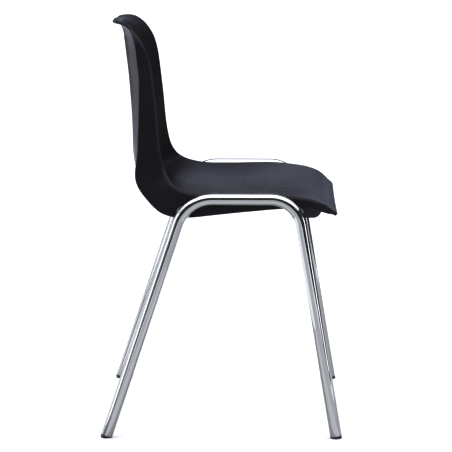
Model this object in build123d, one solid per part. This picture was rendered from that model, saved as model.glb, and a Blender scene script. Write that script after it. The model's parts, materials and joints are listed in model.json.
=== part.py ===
from build123d import *
from math import cos, hypot, radians, sin, sqrt, tan
import os

os.makedirs("parts", exist_ok=True)

# The chair faces -Y, X runs across it and Z is up. The floor is at Z = 0. All sizes are in mm.

# Side frames: one bent tube on each side, an inverted U
tube_od = 22.0
tube_wall = 1.5
front_bend_radius = 60.0
rear_bend_radius = 70.5
rail_height = 460.0
rail_half_span = 234.0
rail_corner_rear = 67.6
rail_corner_front = -144.5
foot_half_span = 255.0
foot_reach = 221.0

# Cross tubes between the two side frames, with their axes below the rails
cross_od = 20.0
cross_wall = 1.5
cross_drop = 28.0
weld_leg = 2.0

# Mounting tabs on the cross tubes
tab_width = 36.0
tab_thickness = 3.0
tab_reach = 44.0
tab_hole_reach = 30.0
tab_corner = 10.0
tab_half_span = 110.0
tab_bead = 2.5
tab_bead_length = 26.0

# Screws, washers and inserts that hold the shell
screw_size = 6.0
screw_length = 12.0
screw_head = 11.0
screw_head_height = 3.6
screw_head_edge = 1.2
socket_flats = 4.0
socket_depth = 2.2
hole_clearance = 0.3
thread_clearance = 0.1
washer_od = 12.5
washer_thickness = 1.6
insert_flats = 10.0
insert_length = 9.0
screw_tip_room = 3.0
boss_od = 19.0

# Foot plugs
plug_standoff = 5.0
plug_tread = 1.5
plug_stem = 24.0
plug_bore = 12.0
plug_floor = 4.0
plug_edge = 1.0
plug_clearance = 0.1

# Stacking buffers on the cross tubes
buffer_width = 21.0
buffer_gap = 7.0
buffer_under = 1.2
buffer_over = 6.0
buffer_half_length = 22.0
buffer_front_nose = 46.5
buffer_front_heel = 11.0
buffer_corner = 7.0
buffer_nose_flat = 1.0

# Shell
shell_wall = 4.0
flange_wall = 3.5
rim_band_out = 4.0
rim_band_drop = 5.0
rim_band_share = 0.6
edge_round = 1.4
edge_round_share = 0.4
nose_turns = (45.0, 80.0)
lip_taper = 0.8
lip_wall = 6.1
lip_edge = 2.0
skirt_gap = 2.0
seat_over_cross = 24.4
back_half_width = 161.0
notch_clearance = 1.5
notch_reach = 25.0

# Stations along the shell from the top lip, down the back and forward over the seat:
# rim Y, rise of the rim over the seat, tilt of the section from the horizontal,
# flare from the back's width (0) to the seat's (1), share of that width left at a rounded corner,
# dish depth and flange depth
shell_stations = [
    (215.2, 316.5, 65.0, 0.00, 0.150, 0.6, 6.2),
    (208.8, 317.6, 59.0, 0.00, 0.300, 2.4, 7.3),
    (201.8, 318.2, 53.0, 0.00, 0.435, 5.0, 7.6),
    (193.5, 317.2, 45.0, 0.00, 0.565, 9.0, 7.0),
    (185.0, 314.8, 35.0, 0.00, 0.690, 15.0, 6.2),
    (176.0, 310.2, 25.0, 0.00, 0.795, 21.0, 6.5),
    (168.0, 303.4, 16.0, 0.00, 0.875, 26.5, 8.5),
    (160.0, 295.2, 9.0, 0.00, 0.930, 32.5, 12.0),
    (152.0, 284.0, 4.0, 0.00, 0.965, 39.5, 16.5),
    (145.5, 272.5, 1.0, 0.00, 0.985, 44.7, 20.5),
    (139.0, 255.0, 0.0, 0.00, 1.000, 49.3, 25.0),
    (132.6, 222.5, 0.0, 0.00, 1.000, 51.8, 27.6),
    (127.8, 182.5, 0.0, 0.03, 1.000, 53.0, 31.7),
    (123.6, 141.5, 0.0, 0.11, 1.000, 54.2, 36.4),
    (120.2, 100.5, 2.0, 0.20, 1.000, 55.7, 41.3),
    (115.8, 69.0, 8.0, 0.27, 1.000, 60.0, 48.3),
    (109.0, 42.3, 20.0, 0.40, 1.000, 64.0, 60.0),
    (104.5, 33.0, 28.0, 0.49, 1.000, 65.5, 60.5),
    (99.3, 24.8, 37.0, 0.61, 1.000, 60.5, 58.5),
    (93.0, 18.2, 47.0, 0.73, 1.000, 45.6, 58.2),
    (84.0, 12.0, 58.0, 0.85, 1.000, 31.6, 58.2),
    (68.0, 5.5, 74.0, 0.96, 1.000, 20.6, 52.5),
    (45.0, 1.0, 84.0, 1.00, 1.000, 17.0, 44.8),
    (0.0, -0.9, 89.0, 1.00, 1.000, 16.5, 37.2),
    (-60.0, 0.6, 90.0, 1.00, 1.000, 15.0, 32.5),
    (-110.0, 0.1, 88.0, 1.00, 1.000, 11.5, 27.7),
    (-142.0, -3.4, 83.0, 1.00, 1.000, 8.5, 22.8),
    (-168.0, -7.6, 76.0, 1.00, 1.000, 6.5, 19.8),
    (-188.0, -14.3, 64.0, 1.00, 0.990, 4.5, 17.8),
    (-203.0, -23.2, 51.0, 1.00, 0.964, 3.0, 14.8),
    (-214.5, -33.4, 42.0, 1.00, 0.916, 1.8, 9.6),
    (-222.0, -40.0, 38.0, 1.00, 0.875, 1.0, 6.5),
]

tube_id = tube_od - 2 * tube_wall
cross_height = rail_height - cross_drop
tab_top = cross_height + tab_thickness
seat_height = cross_height + cross_od / 2 + seat_over_cross
skirt_outside = rail_half_span - tube_od / 2 - skirt_gap
skirt_inside = skirt_outside - flange_wall
seat_half_width = skirt_outside - rim_band_out
sides = {"left": 1, "right": -1}
ends = {"front": -1, "rear": 1}
corner_y = {"front": rail_corner_front, "rear": rail_corner_rear}
bend_radius = {"front": front_bend_radius, "rear": rear_bend_radius}
upward = (Align.CENTER, Align.CENTER, Align.MIN)
downward = (Align.CENTER, Align.CENTER, Align.MAX)


def rail_corner(side, end):
    """Where the axes of a rail and a leg would cross."""
    return Vector(sides[side] * rail_half_span, corner_y[end], rail_height)


def foot_point(side, end):
    """Where the axis of a leg meets the floor."""
    return Vector(sides[side] * foot_half_span, ends[end] * foot_reach, 0)


def leg_direction(side, end):
    """Unit vector up a leg."""
    return (rail_corner(side, end) - foot_point(side, end)).normalized()


def tube_end(side, end):
    """Centre of the square-cut tube end over a foot plug."""
    return foot_point(side, end) + leg_direction(side, end) * plug_standoff


def leg_bend(side, end):
    """Start, middle and end of the bend's axis from leg to rail, and the bend's centre."""
    corner = rail_corner(side, end)
    down = leg_direction(side, end) * -1
    along = Vector(0, -ends[end], 0)
    half_angle = radians(down.get_angle(along)) / 2
    inward = (down + along).normalized()
    radius = bend_radius[end]
    centre = corner + inward * (radius / sin(half_angle))
    tangent = radius / tan(half_angle)
    return corner + down * tangent, centre - inward * radius, corner + along * tangent, centre


def frame_axis(side):
    """Axis of one side frame from the rear tube end to the front one."""
    rear_leg, rear_mid, rear_rail, rear_centre = leg_bend(side, "rear")
    front_leg, front_mid, front_rail, front_centre = leg_bend(side, "front")
    return Wire(
        [
            Line(tube_end(side, "rear"), rear_leg),
            ThreePointArc(rear_leg, rear_mid, rear_rail),
            Line(rear_rail, front_rail),
            ThreePointArc(front_rail, front_mid, front_leg),
            Line(front_leg, tube_end(side, "front")),
        ]
    )


def frame_bar(side, diameter):
    """Solid bar of the given diameter along a side frame's axis."""
    start = Plane(tube_end(side, "rear"), z_dir=leg_direction(side, "rear"))
    return sweep(start * Circle(diameter / 2), path=frame_axis(side))


def side_frame(side):
    return frame_bar(side, tube_od) - frame_bar(side, tube_id)


def cross_y(end):
    """Y of a cross tube, which meets the side frames in their bends."""
    centre = leg_bend("left", end)[3]
    return centre.Y + ends[end] * sqrt(bend_radius[end] ** 2 - (cross_height - centre.Z) ** 2)


def cross_bar(end, diameter):
    """Solid bar along a cross tube's axis, from one side frame's axis to the other."""
    return Pos(0, cross_y(end), cross_height) * Rot(0, 90, 0) * Cylinder(diameter / 2, 2 * rail_half_span)


def cross_tube(end):
    tube = cross_bar(end, cross_od) - cross_bar(end, cross_od - 2 * cross_wall)
    for side in sides:
        tube = tube - frame_bar(side, tube_od)
    return tube


def frame_weld(side, end):
    """Bead in the corner round a cross tube where it meets a side frame."""
    bead = frame_bar(side, tube_od + 2 * weld_leg) & cross_bar(end, cross_od + 2 * weld_leg)
    return bead - cross_bar(end, cross_od) - frame_bar(side, tube_od)


def hole_point(side, end, height):
    """On the axis of a mounting screw, at the given height."""
    return Pos(sides[side] * tab_half_span, cross_y(end) - ends[end] * tab_hole_reach, height)


def screw_hole(length, align=upward):
    """Clearance hole for a mounting screw."""
    return Cylinder(screw_size / 2 + hole_clearance, length, align=align)


def mounting_tab(side, end):
    """Plate from the side of a cross tube toward the middle of the seat, with a screw hole."""
    outline = Rectangle(tab_width, tab_reach)
    inner = outline.vertices().group_by(Axis.Y)[0 if end == "rear" else -1]
    outline = fillet(inner, tab_corner)
    middle = cross_y(end) - ends[end] * tab_reach / 2
    plate = Pos(sides[side] * tab_half_span, middle, cross_height) * extrude(outline, tab_thickness)
    return plate - cross_bar(end, cross_od) - hole_point(side, end, cross_height) * screw_hole(tab_thickness)


def tab_weld(side, end):
    """Bead under a mounting tab along the cross tube."""
    y = cross_y(end) - ends[end] * cross_od / 2
    rod = Rot(0, 90, 0) * Cylinder(tab_bead, tab_bead_length)
    rod = Pos(sides[side] * tab_half_span, y, cross_height) * rod
    return rod - cross_bar(end, cross_od) - mounting_tab(side, end)


def buffer_outline(end):
    """Side view of a buffer about its cross tube's axis, with Y across and Z up."""
    bottom = -cross_od / 2 - buffer_under
    height = buffer_over - bottom
    if end == "front":
        low_y, high_y, nose = -buffer_front_nose, buffer_front_heel, height - buffer_nose_flat
    else:
        low_y, high_y, nose = -buffer_half_length, buffer_half_length, buffer_corner
    block = Pos(low_y, bottom) * Rectangle(high_y - low_y, height, align=Align.MIN)
    block = fillet(block.vertices().group_by(Axis.Y)[0].sort_by(Axis.X)[0], nose)
    return fillet(block.vertices().group_by(Axis.Y)[0].sort_by(Axis.X)[-1], buffer_corner)


def buffer(side, end):
    """Snap-on saddle on a cross tube, just inside the shell's skirt."""
    middle = sides[side] * (skirt_inside - buffer_gap - buffer_width / 2)
    face = Plane((middle, cross_y(end), cross_height), x_dir=(0, 1, 0), z_dir=(1, 0, 0))
    saddle = extrude(face * buffer_outline(end), buffer_width / 2, both=True)
    return saddle - cross_bar(end, cross_od)


def foot_plug(side, end):
    """Plug in a leg's end, with a rounded head that is cut flat at the floor."""
    head = Cylinder(tube_od / 2, plug_standoff + plug_tread, align=downward)
    head = fillet(head.edges().group_by(Axis.Z)[0], plug_edge)
    stem = Cylinder(tube_id / 2 - plug_clearance, plug_stem, align=upward)
    bore = Pos(0, 0, plug_floor) * Cylinder(plug_bore / 2, plug_stem, align=upward)
    place = Plane(tube_end(side, end), z_dir=leg_direction(side, end))
    return split(place * (head + stem - bore), bisect_by=Plane.XY, keep=Keep.TOP)


def mounting_screw(side, end):
    shank = Cylinder(screw_size / 2 - thread_clearance, screw_length, align=upward)
    head = Cylinder(screw_head / 2, screw_head_height, align=downward)
    head = fillet(head.edges().group_by(Axis.Z)[0], screw_head_edge)
    socket = extrude(RegularPolygon(socket_flats / 2, 6, major_radius=False), socket_depth)
    screw = shank + head - Pos(0, 0, -screw_head_height) * socket
    return hole_point(side, end, cross_height - washer_thickness) * screw


def washer(side, end):
    ring = Cylinder(washer_od / 2, washer_thickness, align=downward) - screw_hole(washer_thickness, downward)
    return hole_point(side, end, cross_height) * ring


def insert_hexagon(side, end):
    hexagon = extrude(RegularPolygon(insert_flats / 2, 6, major_radius=False), insert_length)
    return hole_point(side, end, tab_top) * hexagon


def threaded_insert(side, end):
    """Hexagonal insert moulded into a boss, its lower face flush with the boss."""
    bore = hole_point(side, end, tab_top) * Cylinder(screw_size / 2, insert_length, align=upward)
    return insert_hexagon(side, end) - bore


def toward(start, end, distance):
    """Point at the given distance on the way from start to end, or at most a set share of the way."""
    run = end - start
    return start + run * min(distance / run.length, edge_round_share)


def rim_half_width(flare, corner):
    return corner * (back_half_width + flare * (seat_half_width - back_half_width))


def flange_across(index):
    """Flange thickness across the chair, larger where the rim runs across, so that the lip keeps its edge."""
    before = shell_stations[max(index - 1, 0)]
    after = shell_stations[min(index + 1, len(shell_stations) - 1)]
    across = abs(rim_half_width(*after[3:5]) - rim_half_width(*before[3:5]))
    return max(flange_wall, lip_edge * across / abs(after[0] - before[0]))


def shell_section(index, rim_y, rise, tilt, flare, corner, dish, flange, inset=0, panel_wall=shell_wall):
    """Closed outline of the shell across one station: dished panel, rim band and turned-back flanges.

    An inset makes the outline smaller all round, for the ends of the shell.
    """
    half_width = rim_half_width(flare, corner) - inset
    forward = Vector(0, -cos(radians(tilt)), sin(radians(tilt)))
    middle = Vector(0, rim_y, seat_height + rise) - forward * (dish + inset)
    wall = panel_wall - 2 * inset
    slope = 2 * dish / half_width
    outer = half_width + rim_band_out
    inner = outer - flange_across(index) + 2 * inset
    fold = dish - wall * hypot(1, slope) + slope * (inner - half_width)
    flange_depth = flange - 2 * inset
    band = dish - min(rim_band_drop, rim_band_share * flange_depth)
    free_edge = dish - flange_depth
    panel = half_width - 2 * edge_round
    panel_edge = dish * (panel / half_width) ** 2

    def at(x, depth):
        return Vector(x, 0, 0) + middle + forward * depth

    def flange_edges(side):
        """Edges from the panel round one flange to the fold behind it, with the outer corners rounded."""
        points = [at(side * panel, panel_edge), at(side * half_width, dish), at(side * outer, band)]
        points += [at(side * outer, free_edge), at(side * inner, free_edge), at(side * inner, fold)]
        edges, last = [], points[0]
        for before, point, after in zip(points, points[1:], points[2:]):
            start = toward(point, before, edge_round)
            end = toward(point, after, edge_round)
            edges += [Line(last, start), Bezier(start, point, end)]
            last = end
        return edges + [Line(last, points[-1])]

    front = Bezier(at(-panel, panel_edge), at(0, -panel_edge), at(panel, panel_edge))
    rear = Bezier(at(inner, fold), at(0, -2 * wall - fold), at(-inner, fold))
    return Wire([front] + flange_edges(1) + [rear] + flange_edges(-1)[::-1])


def nose_sections():
    """Smaller outlines just past the shell's front edge, which round it off."""
    last = len(shell_stations) - 1
    rim_y, rise, tilt, *rest = shell_stations[last]
    sections = []
    for turn in nose_turns:
        step = edge_round * sin(radians(turn))
        place = (rim_y - step * sin(radians(tilt)), rise - step * cos(radians(tilt)))
        inset = edge_round * (1 - cos(radians(turn)))
        sections.append(shell_section(last, *place, tilt, *rest, inset=inset))
    return sections


def skirt_notch(side, end):
    """Slot in the skirt that lets a cross tube through to the side frame."""
    radius = cross_od / 2 + notch_clearance
    deepest_flange = max(row[-1] for row in shell_stations)
    place = Pos(sides[side] * skirt_outside, cross_y(end), cross_height)
    slot = Box(2 * notch_reach, 2 * radius, deepest_flange, align=downward)
    return place * (slot + Rot(0, 90, 0) * Cylinder(radius, 2 * notch_reach))


def boss(shell, side, end):
    """Boss from a mounting tab up into the shell's panel."""
    base = hole_point(side, end, tab_top)
    axis = Axis(base.position, (0, 0, 1))
    crossings = [point.Z for face in shell.faces() for point, normal in face.find_intersection_points(axis)]
    height = min(crossings) + shell_wall / 2 - tab_top
    return base * Cylinder(boss_od / 2, height, align=upward)


def seat_shell():
    sections = [shell_section(index, *row) for index, row in enumerate(shell_stations)] + nose_sections()
    sections[0] = shell_section(0, *shell_stations[0], inset=lip_taper, panel_wall=lip_wall)
    shell = Part(Solid.make_loft(sections).wrapped)
    for side in sides:
        for end in ends:
            shell = shell + boss(shell, side, end) - insert_hexagon(side, end)
            shell = shell - hole_point(side, end, tab_top) * screw_hole(insert_length + screw_tip_room)
            shell = shell - skirt_notch(side, end)
    return shell


def group(make):
    """One piece at each of the four mounting points."""
    return Compound(children=[make(side, end) for side in sides for end in ends])


export_step(seat_shell(), "parts/seat_shell.step")
for side in sides:
    export_step(side_frame(side), f"parts/side_frame_{side}.step")
for end in ends:
    export_step(cross_tube(end), f"parts/cross_tube_{end}.step")
    for side in sides:
        export_step(mounting_tab(side, end), f"parts/mounting_tab_{end}_{side}.step")
        export_step(buffer(side, end), f"parts/buffer_{end}_{side}.step")
        export_step(foot_plug(side, end), f"parts/foot_plug_{end}_{side}.step")
export_step(group(frame_weld), "parts/frame_welds.step")
export_step(group(tab_weld), "parts/tab_welds.step")
export_step(group(threaded_insert), "parts/threaded_inserts.step")
export_step(group(mounting_screw), "parts/mounting_screws.step")
export_step(group(washer), "parts/washers.step")
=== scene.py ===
import json
from math import cos, sin

import bpy
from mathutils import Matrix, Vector

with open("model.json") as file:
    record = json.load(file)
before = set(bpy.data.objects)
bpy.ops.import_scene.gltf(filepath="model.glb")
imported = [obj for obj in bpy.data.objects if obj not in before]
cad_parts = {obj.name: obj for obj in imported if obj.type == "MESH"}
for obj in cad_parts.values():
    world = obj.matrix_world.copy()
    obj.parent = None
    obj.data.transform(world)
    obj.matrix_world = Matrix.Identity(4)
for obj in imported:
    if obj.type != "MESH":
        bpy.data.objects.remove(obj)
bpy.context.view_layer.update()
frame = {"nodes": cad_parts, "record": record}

# The photograph's camera: place in metres, angles in radians, focal length in pixels of the square image
CAMERA_PLACE = Vector((-5.0620, -0.0891, 1.2350))
CAMERA_YAW = 0.01638
CAMERA_PITCH = 0.16964
IMAGE_PIXELS = 452
FOCAL_PIXELS = 2576.3
CENTRE_OFFSET_PIXELS = 0.5
SENSOR_MM = 36.0
VIEW_TRANSFORM = "Standard"
VIEW_GAMMA = 0.88

# Dome and floor: lengths in metres, radiance in watts per square metre and steradian
FLOOR_SIZE = 400.0
FLOOR_COLOUR = (0.80, 0.80, 0.80)
MATT_ROUGHNESS = 0.9
SKY_COLOUR = (0.97, 0.99, 1.04)
HORIZON_RADIANCE = 0.30
ZENITH_RADIANCE = 2.8
FADE_START = 0.35
FADE_END = 0.80

# Softboxes: name, place and the point aimed at, width and height, watts, colour
WHITE_LIGHT = (0.97, 0.99, 1.04)
COOL_LIGHT = (0.82, 0.91, 1.40)
SOFTBOXES = (
    ("rear_softbox", (-0.9, 2.9, 1.1), (0.0, 0.0, 0.5), (1.2, 1.5), 14.0, WHITE_LIGHT),
    ("front_strip", (-1.0, -2.9, 0.7), (0.0, 0.0, 0.5), (0.35, 1.2), 7.0, WHITE_LIGHT),
    ("seat_strip", (3.6, -0.4, 1.48), (0.0, 0.0, 0.46), (1.1, 0.2), 1.05, COOL_LIGHT),
    ("nose_fill", (3.6, -0.75, 0.55), (0.0, 0.0, 0.46), (0.9, 0.5), 0.47, COOL_LIGHT),
    ("lip_fill", (3.3, -1.75, 1.65), (0.0, 0.0, 0.6), (0.8, 0.6), 0.85, COOL_LIGHT),
)

# Cards: name, centre, the vectors along both sides, colour
CARD_LIFT = 0.002
CARDS = (
    ("front_side", (0.0, -3.2, 1.2), (7.0, 0.0, 0.0), (0.0, 0.0, 2.3), (0.04, 0.04, 0.04)),
    ("camera_side", (-3.4, -0.6, 1.9), (0.0, 5.8, 0.0), (0.0, 0.0, 3.4), (0.02, 0.02, 0.02)),
    ("far_side", (3.8, 0.0, 0.65), (0.0, 7.0, 0.0), (0.0, 0.0, 1.3), (0.06, 0.06, 0.06)),
    ("far_canopy", (3.8, 0.0, 4.6), (0.0, 8.0, 0.0), (0.0, 0.0, 5.4), (0.02, 0.02, 0.02)),
    ("far_corner", (2.9, -3.45, 3.0), (1.99, 1.67, 0.0), (0.0, 0.0, 3.6), (0.18, 0.18, 0.18)),
    ("camera_corner", (-3.0, 2.9, 2.6), (1.25, 1.29, 0.0), (0.0, 0.0, 2.6), (0.04, 0.04, 0.04)),
    ("rear_side", (1.9, 3.2, 1.2), (4.0, 0.0, 0.0), (0.0, 0.0, 2.3), (0.80, 0.80, 0.80)),
    ("near_floor", (-0.55, -0.125, CARD_LIFT), (0.0, 1.15, 0.0), (0.5, 0.0, 0.0), (0.48, 0.48, 0.48)),
    ("under_floor", (0.15, -0.05, CARD_LIFT), (0.0, 1.0, 0.0), (0.9, 0.0, 0.0), (0.30, 0.30, 0.30)),
    ("camera_floor", (-2.6, 0.0, CARD_LIFT), (0.0, 7.0, 0.0), (3.6, 0.0, 0.0), (0.36, 0.36, 0.36)),
    ("front_floor", (1.2, -1.85, CARD_LIFT), (4.0, 0.0, 0.0), (0.0, 2.6, 0.0), (0.30, 0.30, 0.30)),
    ("far_floor", (2.2, 1.0, CARD_LIFT), (0.0, 3.2, 0.0), (3.2, 0.0, 0.0), (0.47, 0.50, 0.56)),
)

# Range that most of a noise lies in, and how far two normals agree on an edge painted with a highlight
# and beside it
NOISE_LOW = 0.3
NOISE_HIGH = 0.7
HIGHLIGHT_MATCH = 0.92
BESIDE_HIGHLIGHT_MATCH = 0.99


def new_material(name):
    """New material with its node tree and its Principled shader."""
    material = bpy.data.materials.new(name)
    material.use_nodes = True
    tree = material.node_tree
    tree.nodes.clear()
    output = tree.nodes.new("ShaderNodeOutputMaterial")
    shader = tree.nodes.new("ShaderNodeBsdfPrincipled")
    tree.links.new(shader.outputs["BSDF"], output.inputs["Surface"])
    return material, tree, shader


def add_node(tree, kind, inputs=None, **settings):
    """New node with its settings and its inputs, each of which is a value or another node's output."""
    node = tree.nodes.new(kind)
    for name, value in settings.items():
        setattr(node, name, value)
    for name, value in (inputs or {}).items():
        if isinstance(value, bpy.types.NodeSocket):
            tree.links.new(value, node.inputs[name])
        else:
            node.inputs[name].default_value = value
    return node


def noise(tree, scale, detail=3.0, stretch=(1.0, 1.0, 1.0)):
    """Noise from 0 to 1 fixed to the part, with scale in cycles per metre."""
    place = tree.nodes.new("ShaderNodeTexCoord").outputs["Object"]
    mapping = add_node(tree, "ShaderNodeMapping", {"Vector": place, "Scale": stretch})
    inputs = {"Vector": mapping.outputs["Vector"], "Scale": scale, "Detail": detail}
    return add_node(tree, "ShaderNodeTexNoise", inputs).outputs["Fac"]


def cells(tree, scale):
    """Rounded pebbles from 0 at their middles, with scale in cells per metre."""
    place = tree.nodes.new("ShaderNodeTexCoord").outputs["Object"]
    inputs = {"Vector": place, "Scale": scale}
    return add_node(tree, "ShaderNodeTexVoronoi", inputs, feature="SMOOTH_F1").outputs["Distance"]


def spread(tree, value, low, high, start=NOISE_LOW, end=NOISE_HIGH):
    """Value stretched from its range start to end onto low to high."""
    inputs = {"Value": value, "From Min": start, "From Max": end, "To Min": low, "To Max": high}
    return add_node(tree, "ShaderNodeMapRange", inputs).outputs["Result"]


def mix_colours(tree, share, first, second):
    """First colour where the share is 0 and second where it is 1, each a colour or a node's output."""
    node = add_node(tree, "ShaderNodeMix", data_type="RGBA")
    tree.links.new(share, node.inputs["Factor"])
    for name, colour in (("A", first), ("B", second)):
        socket = [s for s in node.inputs if s.name == name and s.type == "RGBA"][0]
        if isinstance(colour, bpy.types.NodeSocket):
            tree.links.new(colour, socket)
        else:
            socket.default_value = (*colour, 1.0)
    return [s for s in node.outputs if s.type == "RGBA"][0]


def bump(tree, height, depth, strength, normal=None):
    """Normal of a surface whose height is depth metres times the given height."""
    inputs = {"Height": height, "Distance": depth, "Strength": strength}
    if normal:
        inputs["Normal"] = normal
    return add_node(tree, "ShaderNodeBump", inputs).outputs["Normal"]


def painted_edge_highlight(tree, radius):
    """Share from 0 to 1 that is high on edges of about the given radius in metres, where a highlight is
    painted.
    """
    rounded = add_node(tree, "ShaderNodeBevel", {"Radius": radius}, samples=6).outputs["Normal"]
    surface = tree.nodes.new("ShaderNodeNewGeometry").outputs["Normal"]
    match = add_node(tree, "ShaderNodeVectorMath", {0: rounded, 1: surface}, operation="DOT_PRODUCT")
    return spread(tree, match.outputs["Value"], 1.0, 0.0, HIGHLIGHT_MATCH, BESIDE_HIGHLIGHT_MATCH)


def link_surface(tree, shader, colour, roughness, normal):
    for name, output in (("Base Color", colour), ("Roughness", roughness), ("Normal", normal)):
        tree.links.new(output, shader.inputs[name])


def shell_plastic():
    """Black moulded polypropylene with a fine pebble grain, a satin sheen and a painted highlight of
    light grey along its edges.
    """
    material, tree, shader = new_material("shell_plastic")
    clouds = spread(tree, noise(tree, scale=9.0, detail=4.0), 0.0, 1.0)
    black = mix_colours(tree, clouds, (0.0096, 0.0089, 0.0110), (0.0112, 0.0105, 0.0128))
    # Painted highlight: the rounded rim edges are coloured light grey to stand in for the glints of light
    # on them
    colour = mix_colours(tree, painted_edge_highlight(tree, radius=0.0018), black, (0.210, 0.200, 0.225))
    roughness = spread(tree, noise(tree, scale=23.0, detail=5.0), 0.27, 0.30)
    pebbles = bump(tree, cells(tree, scale=1100.0), depth=0.00012, strength=0.3)
    grain = bump(tree, noise(tree, scale=3800.0, detail=2.0), depth=0.00004, strength=0.2, normal=pebbles)
    link_surface(tree, shader, colour, roughness, grain)
    shader.inputs["Specular IOR Level"].default_value = 0.10
    return material


def chrome():
    """Bright chrome plating with faint smudges and a slight waviness."""
    material, tree, shader = new_material("chrome")
    smudges = spread(tree, noise(tree, scale=31.0, detail=6.0), 0.025, 0.06, start=0.35, end=0.75)
    clouds = spread(tree, noise(tree, scale=12.0), 0.0, 1.0)
    colour = mix_colours(tree, clouds, (0.53, 0.54, 0.55), (0.57, 0.575, 0.58))
    waves = bump(tree, noise(tree, scale=160.0, detail=1.0), depth=0.00001, strength=0.5)
    link_surface(tree, shader, colour, smudges, waves)
    shader.inputs["Metallic"].default_value = 1.0
    return material


def black_nylon():
    """Black moulded nylon, lightly textured, with scuffs."""
    material, tree, shader = new_material("black_nylon")
    scuffs = spread(tree, noise(tree, scale=260.0, detail=6.0), 0.0, 1.0, start=0.5, end=0.75)
    colour = mix_colours(tree, scuffs, (0.011, 0.011, 0.012), (0.022, 0.022, 0.023))
    roughness = spread(tree, noise(tree, scale=180.0, detail=4.0), 0.40, 0.58)
    grain = bump(tree, noise(tree, scale=2400.0), depth=0.00005, strength=0.4)
    link_surface(tree, shader, colour, roughness, grain)
    return material


def plated_steel():
    """Zinc-plated fasteners with a slightly cloudy finish."""
    material, tree, shader = new_material("fastener_steel")
    clouds = spread(tree, noise(tree, scale=420.0, detail=5.0), 0.0, 1.0)
    colour = mix_colours(tree, clouds, (0.52, 0.53, 0.54), (0.64, 0.64, 0.62))
    roughness = spread(tree, noise(tree, scale=700.0, detail=4.0), 0.24, 0.42)
    grain = bump(tree, noise(tree, scale=3000.0, detail=2.0), depth=0.00003, strength=0.3)
    link_surface(tree, shader, colour, roughness, grain)
    shader.inputs["Metallic"].default_value = 1.0
    return material


def brass():
    """Plain turned brass, a little tarnished."""
    material, tree, shader = new_material("insert_brass")
    tarnish = spread(tree, noise(tree, scale=350.0, detail=5.0), 0.0, 1.0)
    colour = mix_colours(tree, tarnish, (0.72, 0.52, 0.23), (0.50, 0.35, 0.15))
    roughness = spread(tree, noise(tree, scale=600.0, detail=4.0), 0.22, 0.40)
    rings = noise(tree, scale=900.0, detail=1.0, stretch=(1.0, 1.0, 8.0))
    turning = bump(tree, rings, depth=0.00003, strength=0.3)
    link_surface(tree, shader, colour, roughness, turning)
    shader.inputs["Metallic"].default_value = 1.0
    return material


def dress_nodes():
    """Gives each CAD node the material of its slot in the record."""
    makers = {
        "shell_plastic": shell_plastic,
        "chrome": chrome,
        "black_nylon": black_nylon,
        "fastener_steel": plated_steel,
        "insert_brass": brass,
    }
    materials = {slot: make() for slot, make in makers.items()}
    for subpart in frame["record"]["subparts"]:
        mesh = frame["nodes"][subpart["node"]].data
        mesh.materials.clear()
        mesh.materials.append(materials[subpart["material_slot"]])


def add_camera():
    data = bpy.data.cameras.new("camera")
    data.sensor_width = SENSOR_MM
    data.lens = FOCAL_PIXELS / IMAGE_PIXELS * SENSOR_MM
    data.shift_x = -CENTRE_OFFSET_PIXELS / IMAGE_PIXELS
    data.shift_y = CENTRE_OFFSET_PIXELS / IMAGE_PIXELS
    data.clip_end = 2 * FLOOR_SIZE
    camera = bpy.data.objects.new("camera", data)
    ahead = cos(CAMERA_PITCH)
    look = Vector((cos(CAMERA_YAW) * ahead, sin(CAMERA_YAW) * ahead, -sin(CAMERA_PITCH)))
    camera.location = CAMERA_PLACE
    camera.rotation_euler = look.to_track_quat("-Z", "Y").to_euler()
    bpy.context.scene.collection.objects.link(camera)
    bpy.context.scene.camera = camera


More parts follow.
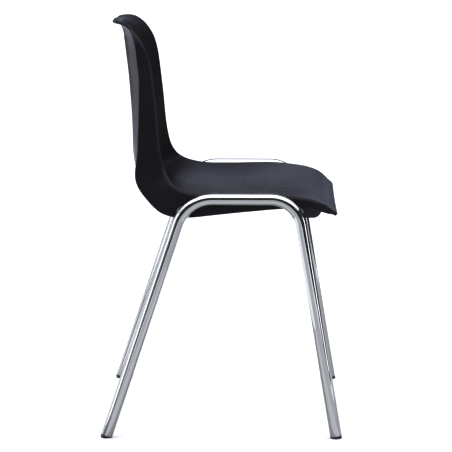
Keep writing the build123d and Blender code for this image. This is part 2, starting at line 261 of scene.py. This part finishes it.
def add_rectangle(name, centre, across, up, colour):
    """Flat matt piece of the studio, with the vectors along both its sides."""
    centre, across, up = Vector(centre), Vector(across) / 2, Vector(up) / 2
    corners = [centre - across - up, centre + across - up, centre + across + up, centre - across + up]
    mesh = bpy.data.meshes.new(name)
    mesh.from_pydata(corners, [], [(0, 1, 2, 3)])
    material, tree, shader = new_material(name)
    shader.inputs["Base Color"].default_value = (*colour, 1.0)
    shader.inputs["Roughness"].default_value = MATT_ROUGHNESS
    mesh.materials.append(material)
    rectangle = bpy.data.objects.new(name, mesh)
    bpy.context.scene.collection.objects.link(rectangle)
    return rectangle


def add_floor():
    floor = add_rectangle("floor", (0, 0, 0), (FLOOR_SIZE, 0, 0), (0, FLOOR_SIZE, 0), FLOOR_COLOUR)


def add_world():
    """Pale dome, brighter overhead."""
    world = bpy.data.worlds.new("studio")
    bpy.context.scene.world = world
    world.use_nodes = True
    tree = world.node_tree
    tree.nodes.clear()
    direction = tree.nodes.new("ShaderNodeTexCoord").outputs["Generated"]
    height = add_node(tree, "ShaderNodeSeparateXYZ", {"Vector": direction}).outputs["Z"]
    strength = spread(tree, height, HORIZON_RADIANCE, ZENITH_RADIANCE, FADE_START, FADE_END)
    inputs = {"Strength": strength, "Color": (*SKY_COLOUR, 1.0)}
    background = add_node(tree, "ShaderNodeBackground", inputs)
    output = tree.nodes.new("ShaderNodeOutputWorld")
    tree.links.new(background.outputs["Background"], output.inputs["Surface"])


def add_softbox(name, place, target, size, watts, colour):
    data = bpy.data.lights.new(name, "AREA")
    data.shape = "RECTANGLE"
    data.size, data.size_y = size
    data.energy = watts
    data.color = colour
    light = bpy.data.objects.new(name, data)
    light.location = place
    light.rotation_euler = (Vector(target) - Vector(place)).to_track_quat("-Z", "Y").to_euler()
    light.visible_camera = False
    bpy.context.scene.collection.objects.link(light)


def add_flag(name, centre, across, up, colour):
    """Card that shows only in reflections, to give the chrome its dark and light lines."""
    flag = add_rectangle(name, centre, across, up, colour)
    flag.visible_camera = False
    flag.visible_diffuse = False
    flag.visible_shadow = False


def add_studio():
    add_world()
    add_floor()
    for softbox in SOFTBOXES:
        add_softbox(*softbox)
    for card in CARDS:
        add_flag(*card)
    bpy.context.scene.view_settings.view_transform = VIEW_TRANSFORM
    bpy.context.scene.view_settings.gamma = VIEW_GAMMA


add_camera()
add_studio()
dress_nodes()
